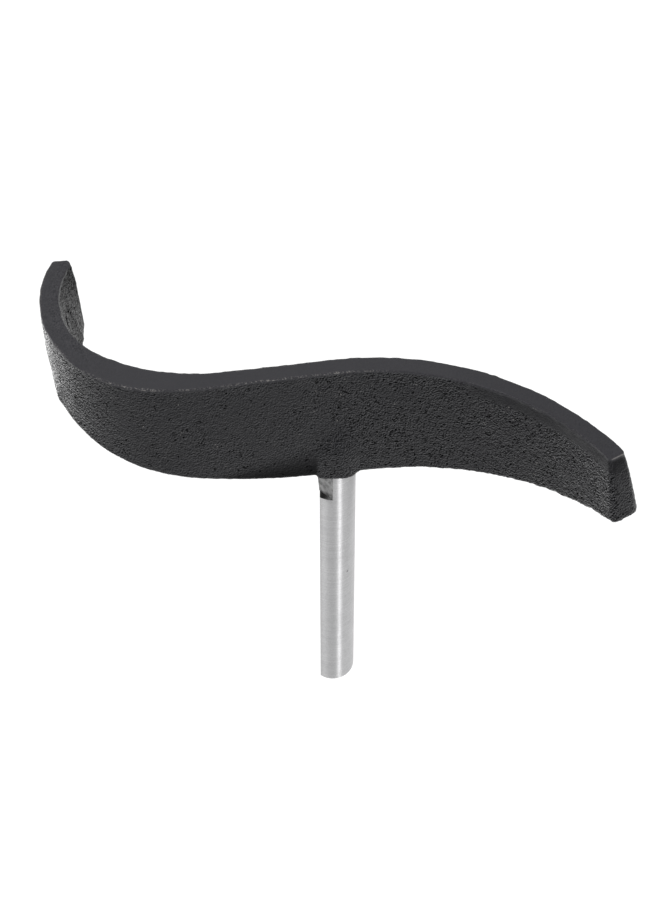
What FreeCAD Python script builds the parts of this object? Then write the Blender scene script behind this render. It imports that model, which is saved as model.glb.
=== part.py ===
import FreeCAD, Part
import math
import os
import Sketcher
from FreeCAD import Placement, Rotation, Vector

# S-lever on a round spindle.  Millimetres.  The origin lies on the spindle axis, in the plane
# of the boss underside: the lever stands above it (+Z) and the spindle hangs below it.
# -Y is the front of the lever, +X runs towards its long sweeping arm.

doc = FreeCAD.newDocument("s_lever")
sheet = doc.addObject("Spreadsheet::Sheet", "Dims")
DIMS = [
    # centre line of the lever in plan, walked from the tip of the hook
    ("hook_tip_x", -58.9),
    ("hook_tip_y", 29.6),
    ("hook_tip_angle", -111.0),
    ("hook_radius", 26.7),
    ("hook_sweep", 103.0),
    ("bend_radius", 46.0),
    ("bend_sweep", 17.1),
    ("straight_run", 24.0),
    ("arm_radius", 56.6),
    ("arm_sweep", 66.5),
    # thickness of the band at its top face
    ("thick_hook_tip", 3.9),
    ("thick_arm_tip", 3.4),
    ("swell", 2.2),
    ("swell_at", 41.8),
    ("swell_spread", 14.2),
    # height of the band and the arc that cuts its underside
    ("top_z", 30.0),
    ("belly_radius", 127.5),
    ("belly_x", -0.9),
    # slopes of the cast faces
    ("front_draft", 1.3),
    ("back_draft", 7.4),
    ("arm_end_flare", 3.4),
    ("hook_end_flare", -2.0),
    ("arm_end_lean", 14.0),
    ("hook_end_lean", 2.0),
    ("hook_end_skew", 1.1),
    ("edge_rounding", 0.9),
    # boss under the middle of the band
    ("boss_radius", 6.0),
    ("boss_front", 5.9),
    ("boss_flank", 3.6),
    ("boss_height", 10.8),
    ("boss_fade", 4.0),
    # spindle
    ("spindle_radius", 5.0),
    ("spindle_length", 74.7),
    ("end_rounding", 2.5),
    ("flat_x", 2.8),
    ("run_out", 8.6),
    ("run_out_foot_x", 3.0),
    ("run_out_x", 3.7),
    ("key_flat", 3.54),
    ("key_angle", 45.0),
    ("tenon_radius", 4.0),
    ("tenon_length", 10.0),
    ("tenon_flat_x", 2.4),
]
for row, (alias, value) in enumerate(DIMS, start=1):
    sheet.set("A%d" % row, alias)
    sheet.set("B%d" % row, str(value))
    sheet.setAlias("B%d" % row, alias)
doc.recompute()


def dim(alias):
    """Value of one driving dimension, read from the sheet."""
    return float(sheet.get(alias))


def origin_plane(body, role):
    """One of a body's own origin planes."""
    for feature in body.Origin.OriginFeatures:
        if feature.Role == role:
            return feature
    raise ValueError(role)


def new_sketch(body, name, role, offset=0.0):
    """Sketch on an origin plane of the body, moved along the plane's normal."""
    sketch = body.newObject("Sketcher::SketchObject", name)
    sketch.AttachmentSupport = (origin_plane(body, role), "")
    sketch.MapMode = "FlatFace"
    sketch.AttachmentOffset = Placement(Vector(0, 0, offset), Rotation())
    return sketch


def add_polygon(sketch, points):
    """Closed outline of straight lines whose corners are held together."""
    first = sketch.GeometryCount
    count = len(points)
    for i in range(count):
        a = Vector(points[i][0], points[i][1], 0)
        b = Vector(points[(i + 1) % count][0], points[(i + 1) % count][1], 0)
        sketch.addGeometry(Part.LineSegment(a, b), False)
    for i in range(count):
        sketch.addConstraint(
            Sketcher.Constraint("Coincident", first + i, 2, first + (i + 1) % count, 1)
        )


def add_circle(sketch, radius_expression, radius):
    """Circle on the sketch origin, its radius driven by the sheet."""
    index = sketch.addGeometry(Part.Circle(Vector(0, 0, 0), Vector(0, 0, 1), radius), False)
    sketch.addConstraint(Sketcher.Constraint("Coincident", index, 3, -1, 1))
    held = sketch.addConstraint(Sketcher.Constraint("Radius", index, radius))
    sketch.setExpression("Constraints[%d]" % held, radius_expression)


def feature(body, kind, name, profile, **settings):
    """Part Design feature on a profile, checked after it is built."""
    made = body.newObject("PartDesign::" + kind, name)
    made.Profile = profile
    for key, value in settings.items():
        setattr(made, key, value)
    profile.Visibility = False
    doc.recompute()
    if made.Shape.isNull() or not made.Shape.isValid():
        raise RuntimeError("%s is not valid" % name)
    return made


# ---------------------------------------------------------------- lever casting
def runs():
    """The runs of the centre line as (signed radius, length); a zero radius is straight."""
    return [
        (dim("hook_radius"), dim("hook_radius") * math.radians(dim("hook_sweep"))),
        (dim("bend_radius"), dim("bend_radius") * math.radians(dim("bend_sweep"))),
        (0.0, dim("straight_run")),
        (-dim("arm_radius"), dim("arm_radius") * math.radians(dim("arm_sweep"))),
    ]


def centre_line(along):
    """Point and heading of the centre line at a distance from the hook tip."""
    point = Vector(dim("hook_tip_x"), dim("hook_tip_y"), 0)
    heading = math.radians(dim("hook_tip_angle"))
    for radius, length in runs():
        step = min(along, length)
        if radius == 0.0:
            point = point + Vector(math.cos(heading), math.sin(heading), 0) * step
        else:
            turned = heading + step / radius
            east = math.sin(turned) - math.sin(heading)
            north = math.cos(heading) - math.cos(turned)
            point = point + Vector(east, north, 0) * radius
            heading = turned
        along -= step
        if along <= 0:
            break
    return point, heading


def band_length():
    return sum(length for _, length in runs())


def thickness(along):
    """Top thickness: a straight taper from tip to tip with a swell in the bend."""
    share = along / band_length()
    plain = dim("thick_hook_tip") * (1 - share) + dim("thick_arm_tip") * share
    return plain + dim("swell") * math.exp(-(((along - dim("swell_at")) / dim("swell_spread")) ** 2))


def band_side(side, drop, stations=18):
    """Points of one side of the band, drop millimetres under its top face.

    side is -1 for the front and +1 for the back.  The last tenth of each arm is stretched
    lengthways so that its end face leans outwards, and the draft of the back changes there.
    """
    total = band_length()
    points = []
    for i in range(stations + 1):
        share = i / stations
        centre, heading = centre_line(share * total)
        ahead = Vector(math.cos(heading), math.sin(heading), 0)
        across = Vector(-math.sin(heading), math.cos(heading), 0)
        at_arm = max(0.0, (share - 0.9) / 0.1)
        at_hook = max(0.0, (0.1 - share) / 0.1)
        draft = dim("front_draft")
        skew = 0.0
        if side > 0:
            draft = dim("back_draft") + at_arm * dim("arm_end_flare") + at_hook * dim("hook_end_flare")
            skew = at_hook * dim("hook_end_skew")
        out = thickness(share * total) / 2 + drop * math.tan(math.radians(draft))
        arm = at_arm * math.tan(math.radians(dim("arm_end_lean")))
        hook = at_hook * math.tan(math.radians(dim("hook_end_lean")))
        points.append(centre + ahead * (drop * (arm - hook) - skew) + across * (side * out))
    return points


def band_section(body, name, z):
    """Closed plan outline of the band at height z: two splines and two straight ends."""
    sketch = new_sketch(body, name, "XY_Plane", z)
    drop = dim("top_z") - z
    front = band_side(-1, drop)
    back = band_side(+1, drop)
    for points in (front, back):
        spline = Part.BSplineCurve()
        spline.interpolate(points)
        sketch.addGeometry(spline, False)
    sketch.addGeometry(Part.LineSegment(front[0], back[0]), False)
    sketch.addGeometry(Part.LineSegment(front[-1], back[-1]), False)
    doc.recompute()
    return sketch


def belly_sketch(body):
    """Side view of everything under the arc that forms the underside of the band."""
    sketch = new_sketch(body, "belly_profile", "XZ_Plane")
    reach = 90.0
    radius = dim("belly_radius")
    x0 = dim("belly_x")
    rise = radius - math.sqrt(radius**2 - reach**2)
    left = Vector(x0 - reach, rise, 0)
    right = Vector(x0 + reach, rise, 0)
    floor = -20.0
    arc = Part.Arc(left, Vector(x0, 0, 0), right)
    sketch.addGeometry(arc, False)
    sketch.addGeometry(Part.LineSegment(right, Vector(right.x, floor, 0)), False)
    sketch.addGeometry(
        Part.LineSegment(Vector(right.x, floor, 0), Vector(left.x, floor, 0)), False
    )
    sketch.addGeometry(Part.LineSegment(Vector(left.x, floor, 0), left), False)
    doc.recompute()
    return sketch


def boss_section(body, name, z, front, flank, radius):
    """Plan outline of the boss: flat front and left flank, round right side and back."""
    sketch = new_sketch(body, name, "XY_Plane", z)
    back_corner = Vector(-flank, math.sqrt(radius**2 - flank**2), 0)
    front_left = Vector(-flank, -front, 0)
    front_right = Vector(0.62 * radius, 0.45 - front, 0)
    side = Vector(radius, 0, 0)
    middle = Vector(radius * math.cos(1.1), radius * math.sin(1.1), 0)
    cheek = Vector(0.93 * radius, -0.52 * radius, 0)
    sketch.addGeometry(Part.LineSegment(front_left, front_right), False)
    sketch.addGeometry(Part.Arc(front_right, cheek, side), False)
    sketch.addGeometry(Part.Arc(side, middle, back_corner), False)
    sketch.addGeometry(Part.LineSegment(back_corner, front_left), False)
    doc.recompute()
    return sketch


def rounded_band(body, belly):
    """Soft lower edges and end corners; the rim of the top face stays sharp."""
    top = dim("top_z") - 0.01
    edges = [
        "Edge%d" % (i + 1)
        for i, edge in enumerate(belly.Shape.Edges)
        if edge.BoundBox.ZMin < top
    ]
    soft = body.newObject("PartDesign::Fillet", "soft_edges")
    soft.Base = (belly, edges)
    soft.Radius = dim("edge_rounding")
    soft.setExpression("Radius", "Dims.edge_rounding")
    doc.recompute()
    if len(edges) != 8 or not soft.Shape.isValid():
        raise RuntimeError("the soft edges did not build")
    return soft


def lever_casting():
    body = doc.addObject("PartDesign::Body", "lever_casting")
    top = band_section(body, "band_top", dim("top_z"))
    low = band_section(body, "band_low", -1.0)
    band = feature(body, "AdditiveLoft", "band", top, Sections=[low], Ruled=True)
    whole = band.Shape.Volume
    belly = feature(body, "Pocket", "belly", belly_sketch(body), Type=1, Midplane=True)
    if belly.Shape.Volume > 0.98 * whole:
        raise RuntimeError("the belly cut missed the band")
    rounded_band(body, belly)
    height = dim("boss_height")
    fade = dim("boss_fade")
    foot = boss_section(body, "boss_foot", 0.0, dim("boss_front"), dim("boss_flank"), dim("boss_radius"))
    waist = boss_section(
        body, "boss_waist", height, dim("boss_front") - 0.2, dim("boss_flank") + 1.2, dim("boss_radius") - 0.3
    )
    cap = boss_section(
        body, "boss_cap", height + fade, dim("boss_front") - 2.4, dim("boss_flank") - 0.6, dim("boss_radius") - 2.6
    )
    boss = feature(body, "AdditiveLoft", "boss", foot, Sections=[waist, cap], Ruled=True)
    socket = new_sketch(body, "socket_profile", "XY_Plane")
    add_d_outline(socket, dim("tenon_radius"), dim("tenon_flat_x"))
    doc.recompute()
    cut = feature(body, "Pocket", "socket", socket, Reversed=True, Length=dim("tenon_length"))
    cut.setExpression("Length", "Dims.tenon_length")
    doc.recompute()
    if cut.Shape.Volume > boss.Shape.Volume - 300:
        raise RuntimeError("the socket cut nothing")
    body.Tip = cut
    return body


def add_d_outline(sketch, radius, flat):
    """Circle with a flat on its -X side."""
    y = math.sqrt(radius**2 - flat**2)
    a = Vector(-flat, -y, 0)
    b = Vector(-flat, y, 0)
    sketch.addGeometry(Part.Arc(a, Vector(radius, 0, 0), b), False)
    sketch.addGeometry(Part.LineSegment(b, a), False)


# ---------------------------------------------------------------- spindle
def spindle():
    body = doc.addObject("PartDesign::Body", "spindle")
    bar = new_sketch(body, "bar_profile", "XY_Plane")
    add_circle(bar, "Dims.spindle_radius", dim("spindle_radius"))
    doc.recompute()
    rod = feature(body, "Pad", "bar", bar, Reversed=True, Length=dim("spindle_length"))
    rod.setExpression("Length", "Dims.spindle_length")
    tenon_sketch = new_sketch(body, "tenon_profile", "XY_Plane")
    add_circle(tenon_sketch, "Dims.tenon_radius", dim("tenon_radius"))
    doc.recompute()
    tenon = feature(body, "Pad", "tenon", tenon_sketch, Length=dim("tenon_length"))
    tenon.setExpression("Length", "Dims.tenon_length")
    doc.recompute()
    rounded = round_free_end(body, tenon)
    flats = new_sketch(body, "flat_profile", "XZ_Plane")
    far = 8.0
    add_polygon(
        flats,
        [
            (-far, -dim("spindle_length") - 2),
            (-dim("flat_x"), -dim("spindle_length") - 2),
            (-dim("flat_x"), -dim("run_out")),
            (-dim("run_out_foot_x"), -dim("run_out")),
            (-dim("run_out_x"), 0),
            (-dim("tenon_flat_x"), 0),
            (-dim("tenon_flat_x"), dim("tenon_length") + 2),
            (-far, dim("tenon_length") + 2),
        ],
    )
    doc.recompute()
    milled = feature(body, "Pocket", "flats", flats, Type=1, Midplane=True)
    if milled.Shape.Volume > rounded.Shape.Volume - 500:
        raise RuntimeError("the flats cut nothing")
    key = new_sketch(body, "key_profile", "XY_Plane", -dim("run_out"))
    add_polygon(key, key_outline())
    doc.recompute()
    keyed = feature(body, "Pocket", "key_flat", key, Reversed=True, Length=dim("run_out"))
    keyed.setExpression("Length", "Dims.run_out")
    doc.recompute()
    if keyed.Shape.Volume > milled.Shape.Volume - 5:
        raise RuntimeError("the key flat cut nothing")
    body.Tip = keyed
    return body


def round_free_end(body, base):
    """Rounding of the rim at the free end of the spindle."""
    low = -dim("spindle_length")
    rims = [
        "Edge%d" % (i + 1)
        for i, edge in enumerate(base.Shape.Edges)
        if edge.BoundBox.ZMax < low + 0.01
    ]
    fillet = body.newObject("PartDesign::Fillet", "rounded_end")
    fillet.Base = (base, rims)
    fillet.Radius = dim("end_rounding")
    fillet.setExpression("Radius", "Dims.end_rounding")
    doc.recompute()
    return fillet


def key_outline():
    """Corners of the strip removed outside the key flat, turned to the front left."""
    turn = math.radians(dim("key_angle"))
    out = Vector(-math.sin(turn), -math.cos(turn), 0)
    across = Vector(-out.y, out.x, 0)
    reach = 7.0
    corners = []
    for distance, slide in (
        (dim("key_flat"), -reach),
        (dim("key_flat"), reach),
        (reach, reach),
        (reach, -reach),
    ):
        corner = out * distance + across * slide
        corners.append((corner.x, corner.y))
    return corners


bodies = [lever_casting(), spindle()]
doc.recompute()
for item in doc.Objects:
    if "Invalid" in item.State or "Error" in item.State:
        raise RuntimeError("%s did not build: %s" % (item.Name, item.State))
os.makedirs("parts", exist_ok=True)
for body in bodies:
    body.Label = body.Name
    if body.Shape.isNull() or not body.Shape.isValid():
        raise RuntimeError("%s has no valid solid" % body.Label)
    body.Shape.exportStep("parts/%s.step" % body.Label)
    box = body.Shape.BoundBox
    print(body.Label, "solids", len(body.Shape.Solids), "volume", round(body.Shape.Volume, 1))
    print("  x %.2f %.2f  y %.2f %.2f  z %.2f %.2f" % (box.XMin, box.XMax, box.YMin, box.YMax, box.ZMin, box.ZMax))
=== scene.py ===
import math
from types import SimpleNamespace

import bmesh
import bpy
import numpy as np
from mathutils import Matrix, Vector


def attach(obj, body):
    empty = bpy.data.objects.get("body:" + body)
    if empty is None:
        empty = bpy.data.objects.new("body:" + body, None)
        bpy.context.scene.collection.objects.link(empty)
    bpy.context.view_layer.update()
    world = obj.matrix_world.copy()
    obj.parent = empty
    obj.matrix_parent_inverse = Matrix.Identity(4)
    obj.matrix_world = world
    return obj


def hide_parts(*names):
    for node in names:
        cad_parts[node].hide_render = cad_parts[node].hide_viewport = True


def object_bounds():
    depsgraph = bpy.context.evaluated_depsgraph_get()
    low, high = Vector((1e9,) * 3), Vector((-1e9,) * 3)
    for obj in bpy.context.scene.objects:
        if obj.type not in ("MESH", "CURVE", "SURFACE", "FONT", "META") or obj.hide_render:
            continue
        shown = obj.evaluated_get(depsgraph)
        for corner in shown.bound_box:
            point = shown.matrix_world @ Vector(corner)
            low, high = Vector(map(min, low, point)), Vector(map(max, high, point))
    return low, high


# S-lever on a round spindle: a sand-cast iron lever, black, and a bright steel spindle.
# Lengths are millimetres in the frame of the CAD part, and metres where a comment says so: the origin
# is on the spindle axis at the boss underside, -Y is the front and +Z is up.

MM = 0.001

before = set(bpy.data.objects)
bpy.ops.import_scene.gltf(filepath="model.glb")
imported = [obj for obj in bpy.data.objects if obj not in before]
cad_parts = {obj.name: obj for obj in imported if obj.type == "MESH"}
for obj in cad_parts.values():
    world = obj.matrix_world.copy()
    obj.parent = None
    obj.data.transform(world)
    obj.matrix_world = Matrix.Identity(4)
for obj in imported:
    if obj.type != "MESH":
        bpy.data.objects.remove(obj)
size_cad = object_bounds()

# the CAD part's box gives the level of the top face and how far the spindle hangs down
TOP_Z = round(size_cad[1][2] / MM, 3)
SPINDLE_LENGTH = round(-size_cad[0][2] / MM, 3)

# ------------------------------------------------------------------ lever: plan and section
TIP = (-58.9, 29.6)
TIP_HEADING = -111.0
# runs of the centre line from the hook tip: (signed radius, sweep in degrees or straight length)
RUNS = ((26.7, 103.0), (46.0, 17.1), (0.0, 24.0), (-56.6, 66.5))
THICK_HOOK = 3.9
THICK_ARM = 3.4
SWELL = 2.2
SWELL_AT = 41.8
SWELL_SPREAD = 14.2
FRONT_DRAFT = 1.3
BACK_DRAFT = 7.4
BACK_DRAFT_ARM = 4.2
# the underside: radius and middle of its arc, and how far off the centre line a side reads it
BELLY_RADIUS = 127.5
BELLY_X = -0.9
BELLY_READ = 2.5

# extra draft in degrees of the inner side near the hook tip, by distance along the centre line
HOOK_SPREAD_AT = (0.0, 2.0, 3.0, 5.0, 8.0, 13.0, 20.0, 28.0)
HOOK_SPREAD = (-0.3, 0.3, 1.4, 3.6, 6.1, 6.0, 3.0, 0.0)
# the same for the outer side, which waves in and out along the bend
FRONT_WAVE_AT = (0.0, 10.0, 13.5, 16.0, 18.0, 20.0, 22.0, 24.0, 26.0, 29.0, 31.5, 33.0, 36.0, 42.0, 50.0)
FRONT_WAVE = (0.0, -0.7, -2.1, -3.0, -3.2, -2.6, -1.2, -0.2, 0.6, 0.9, 1.2, 0.8, 0.6, 0.1, 0.0)

# the two ends: how far they lean in degrees, over which share of the length, and how far the inner
# side of the hook's end stands back
LEAN_ARM = 14.0
LEAN_HOOK = 2.0
LEAN_SHARE = 0.1
HOOK_STEP_BACK = 1.1

# sides of the band, as signs of the distance across it
FRONT = -1
BACK = 1

# upright corners of the ends: radius at the top, gain towards the underside, drop of the full gain;
# and the rounding where the underside meets an end
HOOK_CORNERS = {FRONT: (0.9, 1.0, 18.0), BACK: (1.25, 2.4, 18.0)}
ARM_CORNERS = {FRONT: (0.9, 0.9, 16.0), BACK: (0.9, 1.7, 16.0)}
LOW_CORNER = 1.1

# mesh of the lever: stations along it, how many of them lie in each closely spaced end and over what
# length, rows down a side, the share of the rows that go round the lower edge, and columns across the
# top; the rounding of the top rim, and how far in and down its middle point lies as a share of that
STATIONS = 436
END_STATIONS = 15
END_ZONE = 3.2
SIDE_ROWS = 92
ARC_SHARE = 0.12
TOP_COLUMNS = 12
RIM = 0.15
RIM_MIDDLE = 0.29


def run_length(radius, amount):
    return amount if radius == 0.0 else abs(radius) * math.radians(amount)


LENGTH = sum(run_length(radius, amount) for radius, amount in RUNS)


def centre_line(along):
    """x, y and heading of the centre line for an array of distances from the hook tip."""
    x = np.full(along.shape, TIP[0])
    y = np.full(along.shape, TIP[1])
    heading = np.full(along.shape, math.radians(TIP_HEADING))
    left = along.copy()
    for radius, amount in RUNS:
        step = np.clip(left, 0.0, run_length(radius, amount))
        if radius == 0.0:
            x += step * np.cos(heading)
            y += step * np.sin(heading)
        else:
            turned = heading + step / radius
            x += radius * (np.sin(turned) - np.sin(heading))
            y += radius * (np.cos(heading) - np.cos(turned))
            heading = turned
        left = left - step
    return x, y, heading


def smooth(low, high, value):
    """0 below low, 1 above high and an S-curve between."""
    t = np.clip((value - low) / (high - low), 0.0, 1.0)
    return t * t * (3.0 - 2.0 * t)


def ease(high, low, value):
    """1 below low, 0 above high and an S-curve between."""
    return 1.0 - smooth(low, high, value)


def nearest_centre(p, samples=1200, batch=4000):
    """Nearest centre line point in plan, with its heading, for an array of points."""
    x, y, heading = centre_line(np.linspace(0.0, LENGTH, samples))
    pick = np.empty(len(p), dtype=int)
    for start in range(0, len(p), batch):
        part = p[start : start + batch]
        gap = (part[:, :1] - x) ** 2 + (part[:, 1:2] - y) ** 2
        pick[start : start + batch] = np.argmin(gap, axis=1)
    return x[pick], y[pick], heading[pick]


def thickness(along):
    """Width of the band at its top, fullest a little over a quarter of the way along."""
    share = along / LENGTH
    swell = SWELL * np.exp(-(((along - SWELL_AT) / SWELL_SPREAD) ** 2))
    return THICK_HOOK * (1 - share) + THICK_ARM * share + swell


def belly(x):
    """Height of the underside of the band."""
    return BELLY_RADIUS - np.sqrt(BELLY_RADIUS**2 - (x - BELLY_X) ** 2)


# ------------------------------------------------------------------ noise
def lattice(ix, iy, iz, seed):
    """Random value from 0 to 1 for whole-number cells, by an integer hash."""
    h = ix * 374761393 + iy * 668265263 + iz * 2147483647 + seed * 1274126177
    h = (h ^ (h >> 13)) * 1274126177
    h = h & 0xFFFFFFFF
    h = (h ^ (h >> 16)) & 0xFFFFFFFF
    return h / 4294967295.0


def value_noise(p, cell, seed):
    """Smooth noise from -1 to 1 with the given cell size."""
    q = p / cell
    base = np.floor(q).astype(np.int64)
    f = q - base
    f = f * f * (3 - 2 * f)
    total = np.zeros(len(p))
    for dx in (0, 1):
        wx = f[:, 0] if dx else 1 - f[:, 0]
        for dy in (0, 1):
            wy = f[:, 1] if dy else 1 - f[:, 1]
            for dz in (0, 1):
                wz = f[:, 2] if dz else 1 - f[:, 2]
                v = lattice(base[:, 0] + dx, base[:, 1] + dy, base[:, 2] + dz, seed)
                total += wx * wy * wz * v
    return total * 2 - 1


def pits(p, cell, share, radius, seed):
    """Depth from 0 to 1 of round pits: a share of the cells holds one, of varied radius."""
    q = p / cell
    base = np.floor(q).astype(np.int64)
    depth = np.zeros(len(p))
    for dx in (-1, 0, 1):
        for dy in (-1, 0, 1):
            for dz in (-1, 0, 1):
                c = base + np.array((dx, dy, dz))
                ids = (c[:, 0], c[:, 1], c[:, 2])
                centre = np.stack([lattice(*ids, seed + k) for k in range(3)], -1)
                there = lattice(*ids, seed + 3) < share
                r = radius * (0.45 + 0.55 * lattice(*ids, seed + 4))
                gap = np.linalg.norm(q - c - centre, axis=1) * cell
                bowl = np.clip(1 - (gap / r) ** 2, 0, 1)
                depth = np.maximum(depth, np.where(there, bowl, 0.0))
    return depth


# ------------------------------------------------------------------ boss
BOSS_FRONT = 5.9
BOSS_FRONT_TURN = 0.061
BOSS_LEFT = 3.6
BOSS_RADIUS = 6.0
# the heights where the boss has faded into the band, on the front and on the back
BOSS_TOP_FRONT = 25.0
BOSS_TOP_BACK = 15.0
# side points within this distance of the axis move out by at most this reach, found by halving
BOSS_ZONE = 12.0
BOSS_REACH = 7.0
HALVINGS = 26


def boss_gap(x, y, z):
    """Rough signed distance to the boss, negative inside."""
    shrink = np.where(y > 0, 3.6 * smooth(6.0, BOSS_TOP_BACK, z), 3.0 * smooth(5.0, 23.0, z))
    front = BOSS_FRONT - 0.02 * z - shrink
    flank = BOSS_LEFT + 0.11 * np.minimum(z, 10.8) - 0.5 * shrink
    radius = BOSS_RADIUS - 0.03 * z - shrink
    plane = (-y - front) - BOSS_FRONT_TURN * (x + flank)
    left = -x - flank
    # a full round on the front right and a plain one on the back
    bulge = (np.abs(x / radius) ** 3 + np.abs(y / (radius + 0.1)) ** 3) ** (1 / 3)
    circle = np.hypot(x, y) / radius
    body = (np.where(y < 0, bulge, circle) - 1) * radius
    return np.maximum(np.maximum(plane, left), body)


def smooth_min(a, b, k):
    """Smaller of two values, rounded over a width k."""
    h = np.clip(0.5 + 0.5 * (b - a) / k, 0, 1)
    return b * (1 - h) + a * h - k * h * (1 - h)


def boss_reach(x, y, z, nx, ny):
    """How far a side point moves out along its normal to lie on the band and boss together."""
    blend = 0.35 + 0.9 * smooth(0.0, 5.0, x)
    low = np.zeros(x.shape)
    high = np.full(x.shape, BOSS_REACH)
    for _ in range(HALVINGS):
        middle = (low + high) / 2
        gap = boss_gap(x + nx * middle, y + ny * middle, z)
        inside = smooth_min(middle, gap, blend) < 0
        low = np.where(inside, middle, low)
        high = np.where(inside, high, middle)
    near = np.hypot(x, y) < BOSS_ZONE
    return np.where(near & (z < np.where(y > 0, BOSS_TOP_BACK, BOSS_TOP_FRONT)), low, 0.0)


# ------------------------------------------------------------------ lever mesh
def station_list():
    """Distances along the centre line, closer together in the rounded last 3 mm of each end."""
    end = END_ZONE * (1 - np.cos(np.linspace(0, math.pi / 2, END_STATIONS)))
    middle = np.linspace(END_ZONE, LENGTH - END_ZONE, STATIONS - 2 * (END_STATIONS - 1))[1:-1]
    return np.concatenate([end, middle, LENGTH - end[::-1]])


def corner_inset(gap, radius):
    """How far a rounded corner lies inside its sharp one, gap away from the end."""
    reach = np.clip(radius - gap, 0, None)
    return radius - np.sqrt(np.maximum(radius**2 - reach**2, 0))


def corner_radius(drop, top, gain, full_drop):
    """Radius of an upright end corner, larger towards the underside."""
    return top + gain * (np.clip(drop, 0, full_drop) / full_drop) ** 2


def half_width(side, along, drop):
    """Distance of one side from the centre line at a drop below the top face."""
    half = thickness(along) / 2
    if side == FRONT:
        draft = FRONT_DRAFT + np.interp(along, FRONT_WAVE_AT, FRONT_WAVE)
        half = half - 0.02 * ease(20.0, 12.0, along)
    else:
        at_arm = smooth(LENGTH - 16.0, LENGTH, along)
        draft = BACK_DRAFT + BACK_DRAFT_ARM * at_arm + np.interp(along, HOOK_SPREAD_AT, HOOK_SPREAD)
        # a little fuller than the front, with a slight waist in the hook's bend
        half = half + 0.24 + 0.15 * smooth(60.0, 100.0, along) + 0.15 * at_arm
        half = half - 0.20 * np.exp(-(((along - 27.0) / 6.0) ** 2))
    return half + drop * np.tan(np.radians(draft))


def end_slide(side, along, drop):
    """Shift along the heading that makes the two ends lean."""
    at_arm = np.clip((along / LENGTH - (1 - LEAN_SHARE)) / LEAN_SHARE, 0, 1)
    at_hook = np.clip((LEAN_SHARE - along / LENGTH) / LEAN_SHARE, 0, 1)
    lean = at_arm * math.tan(math.radians(LEAN_ARM)) - at_hook * math.tan(math.radians(LEAN_HOOK))
    return drop * lean - (HOOK_STEP_BACK * at_hook if side == BACK else 0.0)


def lower_edge(side, along):
    """Height of the underside along one side of the band."""
    x, _, heading = centre_line(along)
    # the arc depends on X alone, so each side reads it at its own place
    low = belly(x - side * BELLY_READ * np.sin(heading)) + 0.25 * smooth(13.0, 20.0, x)
    # a little lower across the middle
    low = low - 0.35 * np.exp(-(((x + 4.0) / 17.0) ** 6))
    # both sides at one level at the arm's end, and a little higher before it
    tilt_arm = smooth(LENGTH - 14.0, LENGTH, along)
    low = low * (1 - tilt_arm) + belly(x) * tilt_arm
    low = low + 0.6 * smooth(46.0, 53.0, x) - 0.4 * smooth(54.0, 60.0, x)
    if side == BACK:
        low = low - 0.5 * ease(20.0, 3.0, along) * smooth(0.0, 3.0, along)
    return low + corner_inset(np.minimum(along, LENGTH - along), LOW_CORNER)


def edge_radius(side, along):
    """Rounding of the lower edge, wider round the hook."""
    if side == FRONT:
        return 1.0 + smooth(7.0, 12.0, along) * ease(24.0, 20.0, along)
    return 1.0 + 0.5 * ease(24.0, 6.0, along)


def side_grid(side, along):
    """Rows of points down one side, from under the top rim round the lower edge."""
    x, y, heading = centre_line(along)
    nx = -np.sin(heading) * side
    ny = np.cos(heading) * side
    low = lower_edge(side, along)
    edge = edge_radius(side, along)
    grid = []
    for t in np.linspace(0, 1, SIDE_ROWS + 1):
        if t <= 1 - ARC_SHARE:
            # straight flank, starting under the small rounding of the top rim
            k = t / (1 - ARC_SHARE)
            height = (TOP_Z - RIM) * (1 - k) + (low + edge) * k
            inset = 0.0
        else:
            angle = (t - (1 - ARC_SHARE)) / ARC_SHARE * math.pi / 2
            height = low + edge * (1 - math.sin(angle))
            inset = edge * (1 - math.cos(angle))
        drop = TOP_Z - height
        hook_corner = corner_inset(along, corner_radius(drop, *HOOK_CORNERS[side]))
        arm_corner = corner_inset(LENGTH - along, corner_radius(drop, *ARM_CORNERS[side]))
        width = half_width(side, along, drop) - inset - (hook_corner + arm_corner)
        slide = end_slide(side, along, drop)
        px = x + np.cos(heading) * slide + nx * width
        py = y + np.sin(heading) * slide + ny * width
        reach = boss_reach(px, py, height, nx, ny)
        grid.append(np.stack([px + nx * reach, py + ny * reach, height], -1))
    return np.array(grid)


def lever_loops():
    """Section loops of the lever as an array (station, point, xyz)."""
    along = station_list()
    sides = {side: side_grid(side, along) for side in (FRONT, BACK)}
    # top face: flat, joined to the sides by the small rim
    front_rim = sides[FRONT][0]
    back_rim = sides[BACK][0]
    across = back_rim - front_rim
    span = np.linalg.norm(across[:, :2], axis=1)
    unit = across / span[:, None]
    top = []
    for f in np.linspace(0, 1, TOP_COLUMNS + 1):
        row = front_rim + unit * (RIM + (span - 2 * RIM) * f)[:, None]
        row[:, 2] = TOP_Z
        top.append(row)
    # one point halfway round each rim
    rim_inset = RIM * RIM_MIDDLE
    front_mid = front_rim + unit * rim_inset
    back_mid = back_rim - unit * rim_inset
    for row in (front_mid, back_mid):
        row[:, 2] = TOP_Z - rim_inset
    # underside: straight across between the two lower edges
    columns = TOP_COLUMNS + 4
    low_back = sides[BACK][-1]
    low_front = sides[FRONT][-1]
    bottom = [low_back * (1 - k / columns) + low_front * k / columns for k in range(1, columns)]
    loop = [front_mid] + top + [back_mid] + list(sides[BACK]) + bottom + list(sides[FRONT][::-1])
    return np.stack(loop, 1)


def patch_border(ring, across, down):
    """The four borders of an end face, from its boundary ring: top, right, bottom and left."""
    top = ring[:across]
    right = ring[across - 1 : across - 1 + down]
    bottom = ring[across + down - 2 : 2 * across + down - 2][::-1]
    left = np.concatenate([ring[2 * across + down - 3 :], ring[:1]])[::-1]
    return top, right, bottom, left


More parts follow.
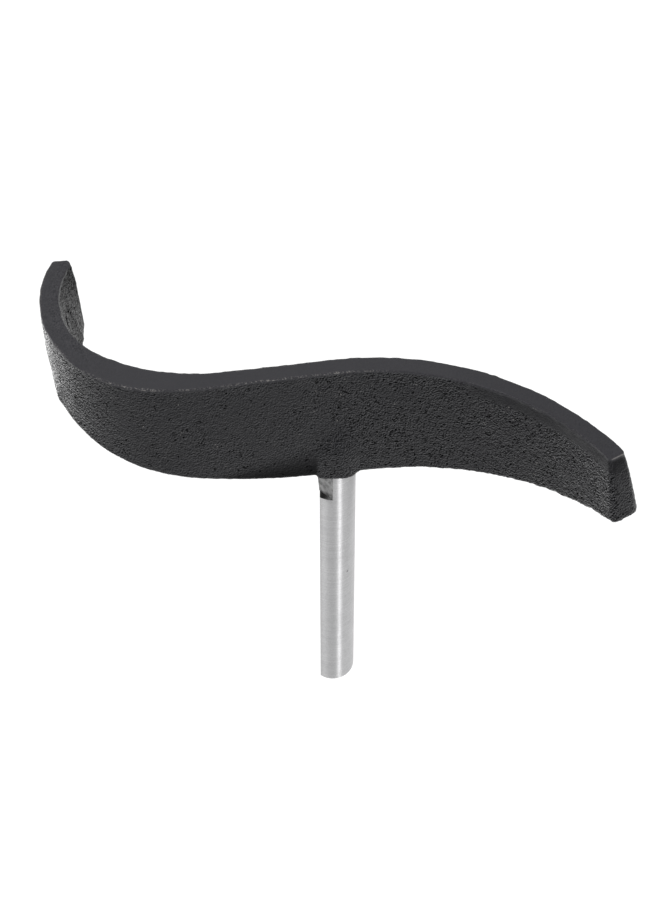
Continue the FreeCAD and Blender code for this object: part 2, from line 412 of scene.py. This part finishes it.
def patch_points(ring, across, down):
    """Points of an end face from its boundary ring, as a Coons patch."""
    top, right, bottom, left = patch_border(ring, across, down)
    u = np.linspace(0, 1, across)[None, :, None]
    v = np.linspace(0, 1, down)[:, None, None]
    ruled_v = top[None] * (1 - v) + bottom[None] * v
    ruled_u = left[:, None] * (1 - u) + right[:, None] * u
    corners_top = top[0] * (1 - u) * (1 - v) + top[-1] * u * (1 - v)
    corners_bottom = bottom[0] * (1 - u) * v + bottom[-1] * u * v
    return ruled_v + ruled_u - (corners_top + corners_bottom)


def lever_mesh():
    """Points and four-sided faces of the whole closed lever."""
    loops = lever_loops()
    n, m = loops.shape[:2]
    points = [loops.reshape(-1, 3)]
    faces = []
    for i in range(n - 1):
        a = i * m + np.arange(m)
        b = i * m + (np.arange(m) + 1) % m
        faces.append(np.stack([a, a + m, b + m, b], -1))
    # end faces: a top border of the top columns and both rims, and sides of what is left
    across = TOP_COLUMNS + 5
    down = (m - 2 * (across - 1)) // 2 + 1
    count = n * m
    for station in (0, n - 1):
        # shift the loop so that it starts at the last front point before the rim
        ring = (np.arange(m) - 1) % m + station * m
        inner = patch_points(points[0][ring], across, down)[1:-1, 1:-1].reshape(-1, 3)
        index = np.empty((down, across), dtype=int)
        index[0], index[:, -1], index[-1], index[:, 0] = patch_border(ring, across, down)
        index[1:-1, 1:-1] = count + np.arange(len(inner)).reshape(down - 2, across - 2)
        count += len(inner)
        points.append(inner)
        quads = np.stack([index[:-1, :-1], index[:-1, 1:], index[1:, 1:], index[1:, :-1]], -1)
        quads = quads.reshape(-1, 4)
        faces.append(quads if station == 0 else quads[:, ::-1])
    return np.concatenate(points), np.concatenate(faces)


def make_mesh(name, points, faces):
    """Mesh of four-sided faces with its normals pointing out."""
    mesh = bpy.data.meshes.new(name)
    mesh.vertices.add(len(points))
    mesh.vertices.foreach_set("co", (points * MM).astype(np.float32).ravel())
    mesh.loops.add(faces.size)
    mesh.loops.foreach_set("vertex_index", faces.astype(np.int32).ravel())
    mesh.polygons.add(len(faces))
    mesh.polygons.foreach_set("loop_start", np.arange(0, faces.size, 4, dtype=np.int32))
    mesh.update(calc_edges=True)
    mesh.validate()
    bm = bmesh.new()
    bm.from_mesh(mesh)
    bmesh.ops.recalc_face_normals(bm, faces=bm.faces)
    bm.to_mesh(mesh)
    bm.free()
    mesh.update()
    return mesh


def vertex_normals(mesh):
    normals = np.empty(len(mesh.vertices) * 3)
    mesh.vertices.foreach_get("normal", normals)
    return normals.reshape(-1, 3)


# ------------------------------------------------------------------ lever surface
# casting lumps: centre, radius and height
LUMPS = (
    ((-55.8, 29.0, 25.0), 2.2, 0.20),
    ((-61.5, 14.0, 27.0), 1.0, 0.12),
    ((-58.0, 4.0, 15.0), 1.4, 0.30),
)

# a narrow shrinkage pit on the inside of the hook: its two ends, radius and depth
PIT_ENDS = ((-57.2, 17.3, 25.2), (-56.8, 16.2, 24.1))
PIT_RADIUS = 0.30
PIT_DEPTH = 0.55

GRAIN_HEIGHT = 0.050
SWELLING_HEIGHT = 0.04
BIG_HOLE_DEPTH = 0.15
SMALL_HOLE_DEPTH = 0.12
# the rim never dips below this
RIM_DIP = -0.09


def segment_gap(p, ends):
    """Distance of each point from the line between two ends."""
    start, stop = np.array(ends)
    run = stop - start
    reach = np.clip((p - start) @ run / np.dot(run, run), 0, 1)
    return np.linalg.norm(p - start - reach[:, None] * run, axis=1)


def lever_zones(p, normals):
    """Where each point lies: its drop below the top face, and masks from 0 to 1."""
    x = p[:, 0]
    drop = TOP_Z - p[:, 2]
    x_mid, y_mid, heading = nearest_centre(p)
    back = (-np.sin(heading) * (x - x_mid) + np.cos(heading) * (p[:, 1] - y_mid)) > 0
    faces_out = (normals[:, 0] > 0.25) & (normals[:, 1] < 0.0)
    return SimpleNamespace(
        drop=drop,
        back=back,
        # rough skin below the ground top face
        cast=smooth(0.05, 0.9, drop),
        # calmer skin in a strip under the rim of the arm
        calm=smooth(22.0, 34.0, x) * ease(60.0, 55.0, x) * ease(4.4, 2.6, drop),
        arm_face=faces_out * smooth(54.0, 56.0, x),
        inside=back * ease(-48.0, -53.0, x),
        under=smooth(0.05, 0.5, -normals[:, 2]) * (0.4 + 0.6 * smooth(5.0, 30.0, x)),
        pit=np.exp(-((segment_gap(p, PIT_ENDS) / PIT_RADIUS) ** 2)),
    )


def surface_shift(p, normals, zone):
    """How far each point moves out: grain, pits, lumps and uneven edges."""
    x = p[:, 0]
    patches = smooth(-0.3, 0.5, value_noise(p, cell=9.0, seed=11))
    coarse = 0.6 + 0.4 * patches + 0.5 * smooth(15.0, 45.0, x) + 0.4 * ease(-40.0, -55.0, x)
    coarse = coarse * (1 - 0.8 * zone.calm) * (1 - 0.5 * zone.arm_face)
    grain = value_noise(p, cell=0.38, seed=1) + 0.35 * value_noise(p, cell=0.8, seed=2)
    swellings = value_noise(p, cell=5.0, seed=3)
    holes = BIG_HOLE_DEPTH * pits(p, cell=1.7, share=0.22, radius=0.55, seed=21)
    holes = holes + SMALL_HOLE_DEPTH * pits(p, cell=0.95, share=0.36, radius=0.36, seed=31)
    out = zone.cast * (GRAIN_HEIGHT * grain * coarse + SWELLING_HEIGHT * swellings - holes * coarse)
    for centre, radius, height in LUMPS:
        gap = np.linalg.norm(p - np.array(centre), axis=1) / radius
        out = out + height * np.exp(-(gap**2))
    out = out - PIT_DEPTH * zone.pit
    # the rim of the top face, more uneven on the back
    upright = ease(0.95, 0.6, np.abs(normals[:, 2]))
    upright = upright * smooth(0.0, 0.05, zone.drop) * ease(2.5, 0.6, zone.drop)
    ripple = 0.11 * value_noise(p, cell=2.4, seed=5) + 0.09 * value_noise(p, cell=0.9, seed=6)
    out = out + upright * np.maximum(ripple * np.where(zone.back, 1.3, 0.8), RIM_DIP)
    ripple = 0.13 * value_noise(p, cell=1.0, seed=8) + 0.07 * value_noise(p, cell=0.5, seed=9)
    return out + zone.under * ripple


def finish_and_shade_marks(p, normals, zone):
    """Masks for the iron material, painted shade among them."""
    x = p[:, 0]
    # painted shade, with smoother skin: low on the front left of the boss, low on the arm's end, in the
    # pit and inside the hook
    left_of_boss = smooth(-38.0, -20.0, x) * ease(-3.0, -3.6, x)
    low_down = ease(3.0 + 6.5 * smooth(-34.0, -4.0, x), 1.2, p[:, 2])
    low_on_arm_end = zone.arm_face * ease(8.0, 2.0, zone.drop)
    shaded_and_smooth = np.maximum(0.88 * left_of_boss * low_down * ~zone.back, 0.40 * low_on_arm_end)
    shaded_and_smooth = np.maximum(zone.cast * shaded_and_smooth, zone.pit)
    in_hook = zone.inside * smooth(0.02, 0.25, zone.drop) * (1 - 0.8 * zone.under)
    shaded_and_smooth = np.maximum(shaded_and_smooth, 0.78 * in_hook)
    # bare metal on the rim: along it, and at the arm's end
    rim = ease(0.40, 0.0, zone.drop) * ease(0.999, 0.97, normals[:, 2])
    rim = rim * (0.2 + 0.8 * ease(14.0, 8.0, x)) * (1 - 0.9 * zone.inside)
    x_end, y_end, heading = (float(v[0]) for v in centre_line(np.array([LENGTH])))
    from_end = (x_end - x) * math.cos(heading) + (y_end - p[:, 1]) * math.sin(heading)
    end_rim = 0.6 * ease(0.22, 0.05, zone.drop) * ease(0.20, 0.02, from_end)
    # contrast of the fine grains: strength of their bumps, of their painted light and shade, and of the
    # crowding of shaded holes
    grit_and_relief_shade = 0.62 + 0.45 * smooth(-14.0, 12.0, x) + 0.6 * smooth(32.0, 52.0, x)
    grit_and_relief_shade = grit_and_relief_shade + 2.0 * ease(-42.0, -60.0, x)
    grit_and_relief_shade = grit_and_relief_shade * (1 - 0.60 * zone.arm_face) * (1 + zone.inside)
    grit_and_relief_shade = grit_and_relief_shade * (1 + 0.4 * value_noise(p, cell=4.0, seed=12))
    return {
        "cast": zone.cast,
        "rim": rim,
        "end_rim": end_rim,
        "shaded_and_smooth": shaded_and_smooth,
        "calm": zone.calm,
        "grit_and_relief_shade": grit_and_relief_shade,
        "bloom": np.where(zone.back, 0.0, zone.cast),
    }


def build_lever():
    points, faces = lever_mesh()
    mesh = make_mesh("lever", points, faces)
    normals = vertex_normals(mesh)
    zone = lever_zones(points, normals)
    moved = points + normals * surface_shift(points, normals, zone)[:, None]
    mesh.vertices.foreach_set("co", (moved * MM).astype(np.float32).ravel())
    for name, values in finish_and_shade_marks(points, normals, zone).items():
        layer = mesh.attributes.new(name, "FLOAT", "POINT")
        layer.data.foreach_set("value", values.astype(np.float32))
    mesh.polygons.foreach_set("use_smooth", np.ones(len(mesh.polygons), dtype=bool))
    mesh.update()
    lever = bpy.data.objects.new("lever", mesh)
    bpy.context.scene.collection.objects.link(lever)
    return lever


# ------------------------------------------------------------------ spindle mesh
SPINDLE_RADIUS = 5.0
END_ROUNDING = 2.5
IN_BOSS = 0.8
# the long flat's distance from the axis, and its run-out: how far below the boss it starts, and the
# distances from the axis there, at the boss and above it
FLAT_X = 2.9
RUN_OUT = 8.6
RUN_OUT_X = (3.0, 3.7, 3.8)
# the key flat's distance from the axis and the direction that it faces in, in degrees
KEY_FLAT = 3.54
KEY_TURN = 225.0
# the cutters reach this far above the boss's underside and this far out
CUT_ABOVE = 3.0
CUT_FAR = 9.0
EDGE_BEVEL = 0.10
# angles in degrees from which an edge is bevelled, and then shaded as sharp
BEVEL_ANGLE = 22.0
SHARP_ANGLE = 24.0
# mesh of the bar: steps round it, steps of the rounded end and rings up the straight part
SEGMENTS = 240
END_STEPS = 12
SHANK_RINGS = 29
SHANK_LOW = -70.0


def spindle_blank():
    """Round bar with a rounded free end, reaching 0.8 mm into the boss."""
    profile = [(0.0, -SPINDLE_LENGTH), (SPINDLE_RADIUS - END_ROUNDING, -SPINDLE_LENGTH)]
    for k in range(1, END_STEPS + 1):
        a = k / END_STEPS * math.pi / 2
        r = SPINDLE_RADIUS - END_ROUNDING * (1 - math.sin(a))
        profile.append((r, -SPINDLE_LENGTH + END_ROUNDING * (1 - math.cos(a))))
    for z in np.linspace(SHANK_LOW, 0.0, SHANK_RINGS):
        profile.append((SPINDLE_RADIUS, float(z)))
    profile += [(SPINDLE_RADIUS - IN_BOSS, IN_BOSS), (0.0, IN_BOSS)]
    bm = bmesh.new()
    verts = [bm.verts.new((r, 0, z)) for r, z in profile]
    edges = [bm.edges.new((a, b)) for a, b in zip(verts[:-1], verts[1:])]
    bmesh.ops.spin(
        bm,
        geom=verts + edges,
        cent=(0, 0, 0),
        axis=(0, 0, 1),
        angle=2 * math.pi,
        steps=SEGMENTS,
        use_duplicate=False,
    )
    bmesh.ops.remove_doubles(bm, verts=bm.verts, dist=1e-4)
    bmesh.ops.recalc_face_normals(bm, faces=bm.faces)
    return bm


def prism(outline, low, high, turn=0.0, upright=True):
    """Closed prism from a plan outline (upright) or a side outline in X and Z (lying along Y)."""
    bm = bmesh.new()
    rings = []
    for level in (low, high):
        ring = []
        for a, b in outline:
            point = Vector((a, b, level)) if upright else Vector((a, level, b))
            ring.append(bm.verts.new(Matrix.Rotation(turn, 3, "Z") @ point))
        rings.append(ring)
    count = len(outline)
    for i in range(count):
        j = (i + 1) % count
        bm.faces.new((rings[0][i], rings[0][j], rings[1][j], rings[1][i]))
    bm.faces.new(rings[0])
    bm.faces.new(rings[1])
    bmesh.ops.recalc_face_normals(bm, faces=bm.faces)
    return bm


def to_object(bm, name):
    """Object in the scene from a bmesh in millimetres."""
    bmesh.ops.scale(bm, vec=(MM, MM, MM), verts=bm.verts)
    mesh = bpy.data.meshes.new(name)
    bm.to_mesh(mesh)
    bm.free()
    thing = bpy.data.objects.new(name, mesh)
    bpy.context.scene.collection.objects.link(thing)
    return thing


def bake_modifiers(thing):
    """Replaces the mesh by its evaluated one and drops the modifiers."""
    graph = bpy.context.evaluated_depsgraph_get()
    mesh = bpy.data.meshes.new_from_object(thing.evaluated_get(graph))
    thing.modifiers.clear()
    thing.data = mesh


def flat_cutter():
    """Block that cuts the long flat and its run-out, lying along Y."""
    below = -SPINDLE_LENGTH - 2
    at_run_out, at_boss, above = RUN_OUT_X
    outline = [
        (-CUT_FAR, below),
        (-FLAT_X, below),
        (-FLAT_X, -RUN_OUT),
        (-at_run_out, -RUN_OUT),
        (-at_boss, 0.0),
        (-above, CUT_ABOVE),
        (-CUT_FAR, CUT_ABOVE),
    ]
    return to_object(prism(outline, -CUT_FAR, CUT_FAR, upright=False), "flat_cutter")


def key_cutter():
    """Block that cuts the key flat on the front left, from its step up into the boss."""
    outline = [(KEY_FLAT, -CUT_FAR), (CUT_FAR, -CUT_FAR), (CUT_FAR, CUT_FAR), (KEY_FLAT, CUT_FAR)]
    turn = math.radians(KEY_TURN)
    return to_object(prism(outline, -RUN_OUT, CUT_ABOVE, turn=turn), "key_cutter")


def dark_flat_shaded_ledge_share(face):
    """Mark of a spindle face: 1 for the painted shadow on a ledge that faces up, 0.5 for the darker key
    flat, 0 elsewhere.
    """
    z = face.center.z / MM
    if face.normal.z > 0.8 and -RUN_OUT - 0.3 < z < -1.0:
        return 1.0
    on_key = face.normal.x + face.normal.y < -1.40 and z > -RUN_OUT
    return 0.5 if on_key else 0.0


def build_spindle():
    rod = to_object(spindle_blank(), "spindle_bar")
    cutters = [flat_cutter(), key_cutter()]
    for cutter in cutters:
        cut = rod.modifiers.new("cut", "BOOLEAN")
        cut.operation = "DIFFERENCE"
        cut.solver = "EXACT"
        cut.object = cutter
    bake_modifiers(rod)
    for cutter in cutters:
        bpy.data.objects.remove(cutter)
    bevel = rod.modifiers.new("edges", "BEVEL")
    bevel.width = EDGE_BEVEL * MM
    bevel.segments = 2
    bevel.limit_method = "ANGLE"
    bevel.angle_limit = math.radians(BEVEL_ANGLE)
    bake_modifiers(rod)
    rod.data.polygons.foreach_set("use_smooth", np.ones(len(rod.data.polygons), dtype=bool))
    rod.data.set_sharp_from_angle(angle=math.radians(SHARP_ANGLE))
    # face mask of the darker key flat and of the painted shadow on the ledges
    layer = rod.data.attributes.new("dark_flat_shaded_ledge", "FLOAT", "FACE")
    layer.data.foreach_set("value", [dark_flat_shaded_ledge_share(face) for face in rod.data.polygons])
    return rod


# ------------------------------------------------------------------ materials
class Tree:
    """Short calls for adding nodes to a node tree."""

    def __init__(self, tree):
        self.tree = tree

    def node(self, kind):
        return self.tree.nodes.new("ShaderNode" + kind)

    def link(self, a, b):
        self.tree.links.new(a, b)

    def put(self, value, socket):
        if isinstance(value, bpy.types.NodeSocket):
            self.link(value, socket)
        else:
            socket.default_value = value

    def math(self, operation, a, b=0.0, clamp=False):
        node = self.node("Math")
        node.operation = operation
        node.use_clamp = clamp
        self.put(a, node.inputs[0])
        self.put(b, node.inputs[1])
        return node.outputs[0]

    def plus(self, a, b):
        return self.math("ADD", a, b)

    def minus(self, a, b):
        return self.math("SUBTRACT", a, b)

    def times(self, a, b):
        return self.math("MULTIPLY", a, b)

    def largest(self, a, b, clamp=False):
        return self.math("MAXIMUM", a, b, clamp)

    def remap(self, value, low, high, to_low=0.0, to_high=1.0):
        node = self.node("MapRange")
        self.put(value, node.inputs["Value"])
        limits = {"From Min": low, "From Max": high, "To Min": to_low, "To Max": to_high}
        for name, number in limits.items():
            self.put(number, node.inputs[name])
        return node.outputs["Result"]


class Material(Tree):
    """A node material with a Principled shader; its textures use object coordinates, in metres."""

    def __init__(self, name):
        self.material = bpy.data.materials.new(name)
        self.material.use_nodes = True
        super().__init__(self.material.node_tree)
        self.tree.nodes.clear()
        out = self.node("OutputMaterial")
        self.shader = self.node("BsdfPrincipled")
        self.link(self.shader.outputs["BSDF"], out.inputs["Surface"])
        self.coords = self.node("TexCoord").outputs["Object"]

    def set(self, name, value):
        self.put(value, self.shader.inputs[name])

    def attribute(self, name):
        node = self.node("Attribute")
        node.attribute_name = name
        return node.outputs["Fac"]

    def mix(self, share, a, b):
        node = self.node("Mix")
        node.data_type = "RGBA"
        self.put(share, node.inputs["Factor"])
        self.put(a, node.inputs["A"])
        self.put(b, node.inputs["B"])
        return node.outputs["Result"]

    def stretched(self, scale):
        node = self.node("Mapping")
        node.inputs["Scale"].default_value = scale
        self.link(self.coords, node.inputs["Vector"])
        return node.outputs["Vector"]

    def noise(self, scale, detail=2.0, rough=0.5, place=None):
        node = self.node("TexNoise")
        node.inputs["Scale"].default_value = scale
        node.inputs["Detail"].default_value = detail
        node.inputs["Roughness"].default_value = rough
        self.link(place or self.coords, node.inputs["Vector"])
        return node.outputs["Fac"]

    def relief(self, scale, step, detail):
        """Fall of a noise height over a short step: painted light and shade on the sides of small
        grains.
        """
        shift = self.node("VectorMath")
        shift.operation = "ADD"
        self.link(self.coords, shift.inputs[0])
        shift.inputs[1].default_value = step
        here = self.noise(scale, detail)
        beyond = self.noise(scale, detail, place=shift.outputs["Vector"])
        return self.minus(here, beyond)

    def cells(self, scale, bend=0.0, bend_scale=1100.0):
        """Distance to the nearest cell centre, with the cells bent by up to that many metres."""
        node = self.node("TexVoronoi")
        node.inputs["Scale"].default_value = scale
        place = self.coords
        if bend:
            swirl = self.node("TexNoise")
            swirl.inputs["Scale"].default_value = bend_scale
            self.link(self.coords, swirl.inputs["Vector"])
            scaled = self.node("VectorMath")
            scaled.operation = "MULTIPLY_ADD"
            self.link(swirl.outputs["Color"], scaled.inputs[0])
            scaled.inputs[1].default_value = (2 * bend, 2 * bend, 2 * bend)
            self.link(self.coords, scaled.inputs[2])
            place = scaled.outputs["Vector"]
        self.link(place, node.inputs["Vector"])
        return node.outputs["Distance"]

    def distance_from(self, point):
        node = self.node("VectorMath")
        node.operation = "DISTANCE"
        self.link(self.coords, node.inputs[0])
        node.inputs[1].default_value = point
        return node.outputs["Value"]

    def bump(self, height, distance, strength, under=None):
        node = self.node("Bump")
        node.inputs["Distance"].default_value = distance
        self.put(strength, node.inputs["Strength"])
        self.link(height, node.inputs["Height"])
        if under is not None:
            self.link(under, node.inputs["Normal"])
        return node.outputs["Normal"]


def grey(value):
    return (value, value, value, 1)


# colours of the iron: the two tones of the top face, the painted shaded and lit tones of the rough
# sides, the painted shade in the holes, and bare metal
TOP_TONES = ((0.0100, 0.0096, 0.0120, 1), (0.0150, 0.0146, 0.0172, 1))
SIDE_SHADED_AND_LIT = ((0.0020, 0.0020, 0.0024, 1), (0.0110, 0.0109, 0.0120, 1))
PAINTED_HOLE_SHADE = (0.0008, 0.0008, 0.0009, 1)
BARE_METAL = (0.20, 0.19, 0.18, 1)
# cells per metre of the grains, and the step from a grain's painted lit side to its painted shaded side,
# in metres
GRAIN_SCALE = 2700.0
GRAIN_DETAIL = 1.5
GRAIN_STEP = (0.00007, -0.00003, -0.00011)
# strength of the painted light and shade on the grains
GRAIN_CONTRAST = 7.0


def iron_texture(m, cast, shaded_and_smooth, calm, grit_and_relief_shade):
    """Share of rough skin, painted light and shade of its grains, and the holes between them with their
    painted shade.
    """
    # the smoother skin under the painted shade and the calm skin show less of the grains, and the top
    # face hardly any
    rough_share = m.times(cast, m.minus(1.0, m.times(shaded_and_smooth, 0.75)))
    rough_share = m.times(rough_share, m.minus(1.0, m.times(calm, 0.8)))
    fall = m.relief(GRAIN_SCALE, GRAIN_STEP, GRAIN_DETAIL)
    share = m.largest(rough_share, 0.08)
    shade = m.times(m.times(fall, grit_and_relief_shade), m.times(share, GRAIN_CONTRAST))
    shade = m.largest(m.plus(shade, 1.0), 0.1)
    # holes between the grains: hollows in the bump, with painted shade in colour and gloss
    holes = m.remap(m.cells(1300.0, bend=0.0002), 0.42, 0.26)
    crowding = m.times(m.noise(800.0), m.remap(grit_and_relief_shade, 0.65, 1.05, 0.82, 1.0))
    clusters = m.remap(crowding, 0.46, 0.54)
    cavity_and_shade = m.times(m.times(holes, clusters), rough_share)
    return rough_share, shade, cavity_and_shade


def iron_wear(m, cast):
    """Share of bare metal: sparse specks on the rough skin, worn spots on the rim."""
    specks = m.remap(m.cells(1000.0), 0.17, 0.08)
    sparse = m.remap(m.noise(420.0, 1.0), 0.62, 0.68)
    worn = m.times(specks, m.times(sparse, cast))
    rim_fine = m.remap(m.noise(2600.0), 0.50, 0.64)
    rim_long = m.remap(m.noise(110.0, 1.0), 0.40, 0.62)
    rim_wear = m.times(m.times(m.attribute("rim"), rim_fine), m.times(rim_long, 0.9))
    rim_wear = m.largest(rim_wear, m.attribute("end_rim"))
    return m.largest(m.times(worn, 0.8), rim_wear, clamp=True)


def black_iron():
    m = Material("black_iron")
    cast = m.attribute("cast")
    shaded_and_smooth = m.attribute("shaded_and_smooth")
    calm = m.attribute("calm")
    grit_and_relief_shade = m.attribute("grit_and_relief_shade")
    rough_share, shade, cavity_and_shade = iron_texture(m, cast, shaded_and_smooth, calm, grit_and_relief_shade)
    # colour: faint mottling on the ground top face; on the skin, painted light and shade on the grains
    # and painted shade in the holes
    top = m.mix(m.noise(120.0, 3.0, 0.55), *TOP_TONES)
    side = m.mix(m.remap(shade, 0.2, 1.8), *SIDE_SHADED_AND_LIT)
    side = m.mix(m.times(cavity_and_shade, 0.9), side, PAINTED_HOLE_SHADE)
    colour = m.mix(cast, top, side)
    colour = m.mix(iron_wear(m, cast), colour, BARE_METAL)
    # painted shade: the colour goes near black on the shaded patches
    colour = m.mix(m.times(shaded_and_smooth, 0.9), colour, grey(0.0008))
    m.set("Base Color", colour)
    rough = m.remap(m.noise(300.0), 0.3, 0.7, 0.24, 0.30)
    m.set("Roughness", m.plus(rough, m.times(m.minus(1.0, cast), 0.12)))
    # gloss: highest on the top face, less on the skin, less again under the painted shade and in the
    # holes, scaled by the painted light and shade of the grains
    gloss = m.minus(0.37, m.times(cast, 0.16))
    gloss = m.minus(gloss, m.times(shaded_and_smooth, 0.17))
    gloss = m.minus(gloss, m.times(calm, 0.05))
    gloss = m.times(gloss, shade)
    m.set("Specular IOR Level", m.math("SUBTRACT", gloss, m.times(cavity_and_shade, 0.22), clamp=True))
    m.set("Specular Tint", (0.95, 0.95, 1.0, 1))
    # a faint pale sheen where the front turns away from the eye
    facing = m.node("LayerWeight").outputs["Facing"]
    bloom = m.times(m.math("POWER", facing, 4.0), m.attribute("bloom"))
    m.set("Sheen Weight", m.times(bloom, shade))
    m.set("Sheen Roughness", 0.4)
    height = m.minus(m.noise(GRAIN_SCALE, GRAIN_DETAIL), m.times(cavity_and_shade, 0.4))
    strength = m.times(rough_share, m.remap(grit_and_relief_shade, 0.6, 1.6, 0.6, 1.0))
    grains = m.bump(height, 0.00030, strength)
    m.set("Normal", m.bump(m.noise(900.0), 0.00003, 0.6, grains))
    return m.material


# place of one small nick on the front right of the spindle, in metres
NICK = (0.0033, -0.00376, -0.0342)


def bright_steel():
    m = Material("bright_steel")
    # fine rings round the bar, clouds and grain
    rings = m.noise(60.0, 3.0, 0.6, place=m.stretched((0.35, 0.35, 40.0)))
    cloud = m.noise(260.0, 3.0, 0.6)
    fine = m.noise(2600.0, 2.0, 0.6)
    tone = m.plus(m.times(rings, 0.4), m.times(cloud, 0.25))
    tone = m.plus(tone, m.times(fine, 0.35))
    colour = m.mix(m.remap(tone, 0.38, 0.62), (0.43, 0.43, 0.435, 1), (0.58, 0.58, 0.585, 1))
    # darker, mottled key flat and painted shadow on the ledges
    dark_flat_shaded_ledge = m.attribute("dark_flat_shaded_ledge")
    mottle = m.remap(m.noise(900.0, 3.0, 0.65), 0.40, 0.60)
    flat = m.mix(mottle, grey(0.20), grey(0.40))
    colour = m.mix(m.remap(dark_flat_shaded_ledge, 0.0, 0.5), colour, flat)
    # painted shadow on the ledges
    colour = m.mix(m.remap(dark_flat_shaded_ledge, 0.6, 0.9), colour, grey(0.10))
    nick = m.plus(m.distance_from(NICK), m.times(fine, 0.0002))
    colour = m.mix(m.remap(nick, 0.00042, 0.00026), colour, grey(0.22))
    m.set("Base Color", colour)
    m.set("Metallic", 1.0)
    m.set("Roughness", m.remap(cloud, 0.3, 0.7, 0.42, 0.48))
    # the ground finish stretches the highlights along the bar
    tangent = m.node("Tangent")
    tangent.direction_type = "RADIAL"
    tangent.axis = "Z"
    m.set("Tangent", tangent.outputs["Tangent"])
    m.set("Anisotropic", 0.95)
    m.set("Anisotropic Rotation", 0.25)
    grain = m.bump(rings, 0.00001, 0.5)
    m.set("Normal", m.bump(fine, 0.000006, 0.5, grain))
    return m.material


def floor_white():
    m = Material("floor_white")
    m.set("Base Color", grey(0.3))
    m.set("Roughness", 0.9)
    m.set("Specular IOR Level", 0.0)
    m.set("Emission Color", grey(1.0))
    m.set("Emission Strength", 0.74)
    return m.material


# ------------------------------------------------------------------ the object
lever = build_lever()
lever.data.materials.append(black_iron())
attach(lever, "root")
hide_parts("lever_casting")

spindle_bar = build_spindle()
spindle_bar.data.materials.clear()
spindle_bar.data.materials.append(bright_steel())
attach(spindle_bar, "root")
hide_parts("spindle")

# ------------------------------------------------------------------ stage, lights and camera
# half the side of the floor, in metres, and its distance below the spindle's end
FLOOR_HALF = 2.5
FLOOR_BELOW = 45.0

# area lights in metres and watts: name, place, aim, width, height and power
LIGHTS = (
    ("strip", (0.478, -0.835, 0.25), (0, 0, -0.03), 0.16, 0.9, 4.1),
    ("left_back", (-0.9, 0.45, 0.35), (0, 0, 0), 0.7, 0.6, 4.0),
    ("key", (-0.45, -0.35, 0.85), (0, 0, 0), 0.25, 0.25, 3.0),
)

# the photo's camera: what it looks at, from how far off and from how many degrees up, and its focal
# length
CAMERA_AIM = (-0.65, 0.0, 2.2066)
CAMERA_DISTANCE = 468.287
CAMERA_ELEVATION = 47.0
CAMERA_LENS = 86.476


def build_floor():
    bm = bmesh.new()
    bmesh.ops.create_grid(bm, x_segments=1, y_segments=1, size=FLOOR_HALF)
    mesh = bpy.data.meshes.new("floor")
    bm.to_mesh(mesh)
    bm.free()
    mesh.materials.append(floor_white())
    floor = bpy.data.objects.new("floor", mesh)
    floor.location = (0, 0, (-SPINDLE_LENGTH - FLOOR_BELOW) * MM)
    bpy.context.scene.collection.objects.link(floor)
    return floor


def area_light(name, place, aim, width, height, power):
    light = bpy.data.lights.new(name, "AREA")
    light.shape = "RECTANGLE"
    light.size = width
    light.size_y = height
    light.energy = power
    lamp = bpy.data.objects.new(name, light)
    bpy.context.scene.collection.objects.link(lamp)
    lamp.location = place
    lamp.rotation_mode = "QUATERNION"
    lamp.rotation_quaternion = (Vector(aim) - Vector(place)).to_track_quat("-Z", "Y")


def studio_world():
    """Pale to the eye; as light it is bright overhead and behind and dim in front."""
    world = bpy.data.worlds.new("studio")
    bpy.context.scene.world = world
    world.use_nodes = True
    background = world.node_tree.nodes["Background"]
    w = Tree(world.node_tree)
    split = w.node("SeparateXYZ")
    w.link(w.node("TexCoord").outputs["Generated"], split.inputs[0])
    x, y, z = split.outputs
    up = w.remap(z, 0.3, 0.9, 0.0, 0.55)
    behind = w.remap(y, 0.0, 0.7, 0.0, 0.5)
    # a faint step up to the left of the front, and a bright right
    turn = w.math("ARCTAN2", x, w.times(y, -1.0))
    left = w.remap(turn, -0.25, -0.31, 0.0, 0.05)
    right = w.remap(x, 0.40, 0.8, 0.0, 0.75)
    light = w.plus(w.plus(up, behind), w.plus(left, right))
    light = w.plus(light, 0.25)
    seen = w.node("LightPath").outputs["Is Camera Ray"]
    w.link(w.largest(light, w.times(seen, 1.03)), background.inputs["Strength"])
    background.inputs["Color"].default_value = grey(1.0)


def photo_camera():
    data = bpy.data.cameras.new("camera")
    data.lens = CAMERA_LENS
    data.sensor_width = 36.0
    data.clip_start = 0.01
    camera = bpy.data.objects.new("camera", data)
    height = math.radians(CAMERA_ELEVATION)
    away = Vector((0.0, -math.cos(height), math.sin(height)))
    camera.location = (Vector(CAMERA_AIM) + CAMERA_DISTANCE * away) * MM
    camera.rotation_euler = (math.pi / 2 - height, 0.0, 0.0)
    bpy.context.scene.collection.objects.link(camera)
    bpy.context.scene.camera = camera


floor = build_floor()
for light_row in LIGHTS:
    area_light(*light_row)
studio_world()
photo_camera()

bpy.context.scene.view_settings.view_transform = "Standard"
bpy.context.scene.view_settings.look = "None"
